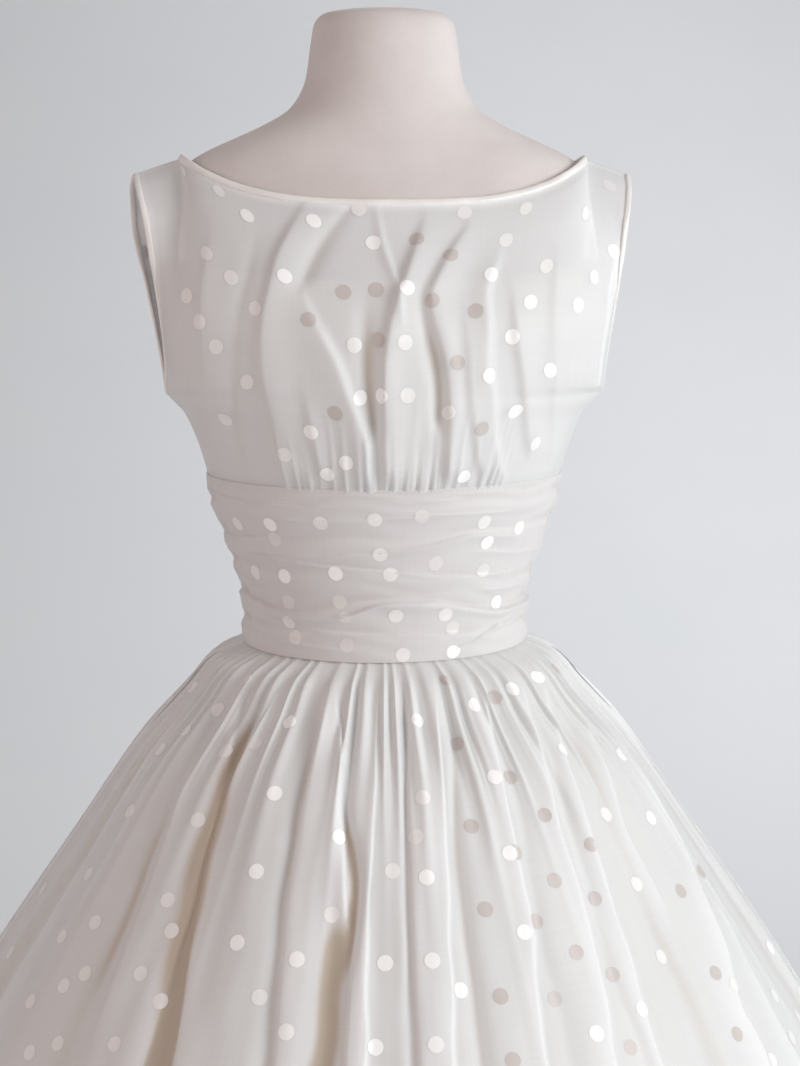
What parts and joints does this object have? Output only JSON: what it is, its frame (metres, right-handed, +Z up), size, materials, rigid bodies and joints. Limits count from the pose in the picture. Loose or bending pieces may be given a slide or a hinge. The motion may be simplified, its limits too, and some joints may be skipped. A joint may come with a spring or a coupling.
{
  "type": "wedding dress on a limbless dress form with stand",
  "caption": "Sleeveless wedding dress of sheer dotted cloth with a gathered bodice, draped waistband and full gathered skirt, standing on a limbless dress form with a round base.",
  "frame": {"origin": "centre of the underside of the stand's round base, on the floor", "axes": "+Z up along the pole, -Y towards the front of the dress, +X towards the right of someone who looks at the front"},
  "size_m": [1.0636, 0.9991, 1.5245],
  "materials": {
    "sheer_cloth": "sheer ivory organza with opaque satin dots",
    "satin_binding": "ivory satin bias binding",
    "lining_cloth": "plain matt ivory lining",
    "form_cover": "matt off-white jersey, stretched smooth",
    "stand_enamel": "satin off-white enamel"
  },
  "bodies": {
    "root": {"bodice_front": "sheer_cloth", "bodice_back_left": "sheer_cloth", "bodice_back_right": "sheer_cloth", "bodice_lining_front": "lining_cloth", "bodice_lining_back": "lining_cloth", "back_placket": "sheer_cloth", "neck_binding": "satin_binding", "armhole_binding_left": "satin_binding", "armhole_binding_right": "satin_binding", "cummerbund_front": "sheer_cloth", "cummerbund_back_left": "sheer_cloth", "cummerbund_back_right": "sheer_cloth", "skirt_front": "sheer_cloth", "skirt_back_left": "sheer_cloth", "skirt_back_right": "sheer_cloth", "skirt_lining": "lining_cloth", "form_torso": "form_cover", "form_pole": "stand_enamel", "form_base": "stand_enamel"}
  },
  "joints": []
}
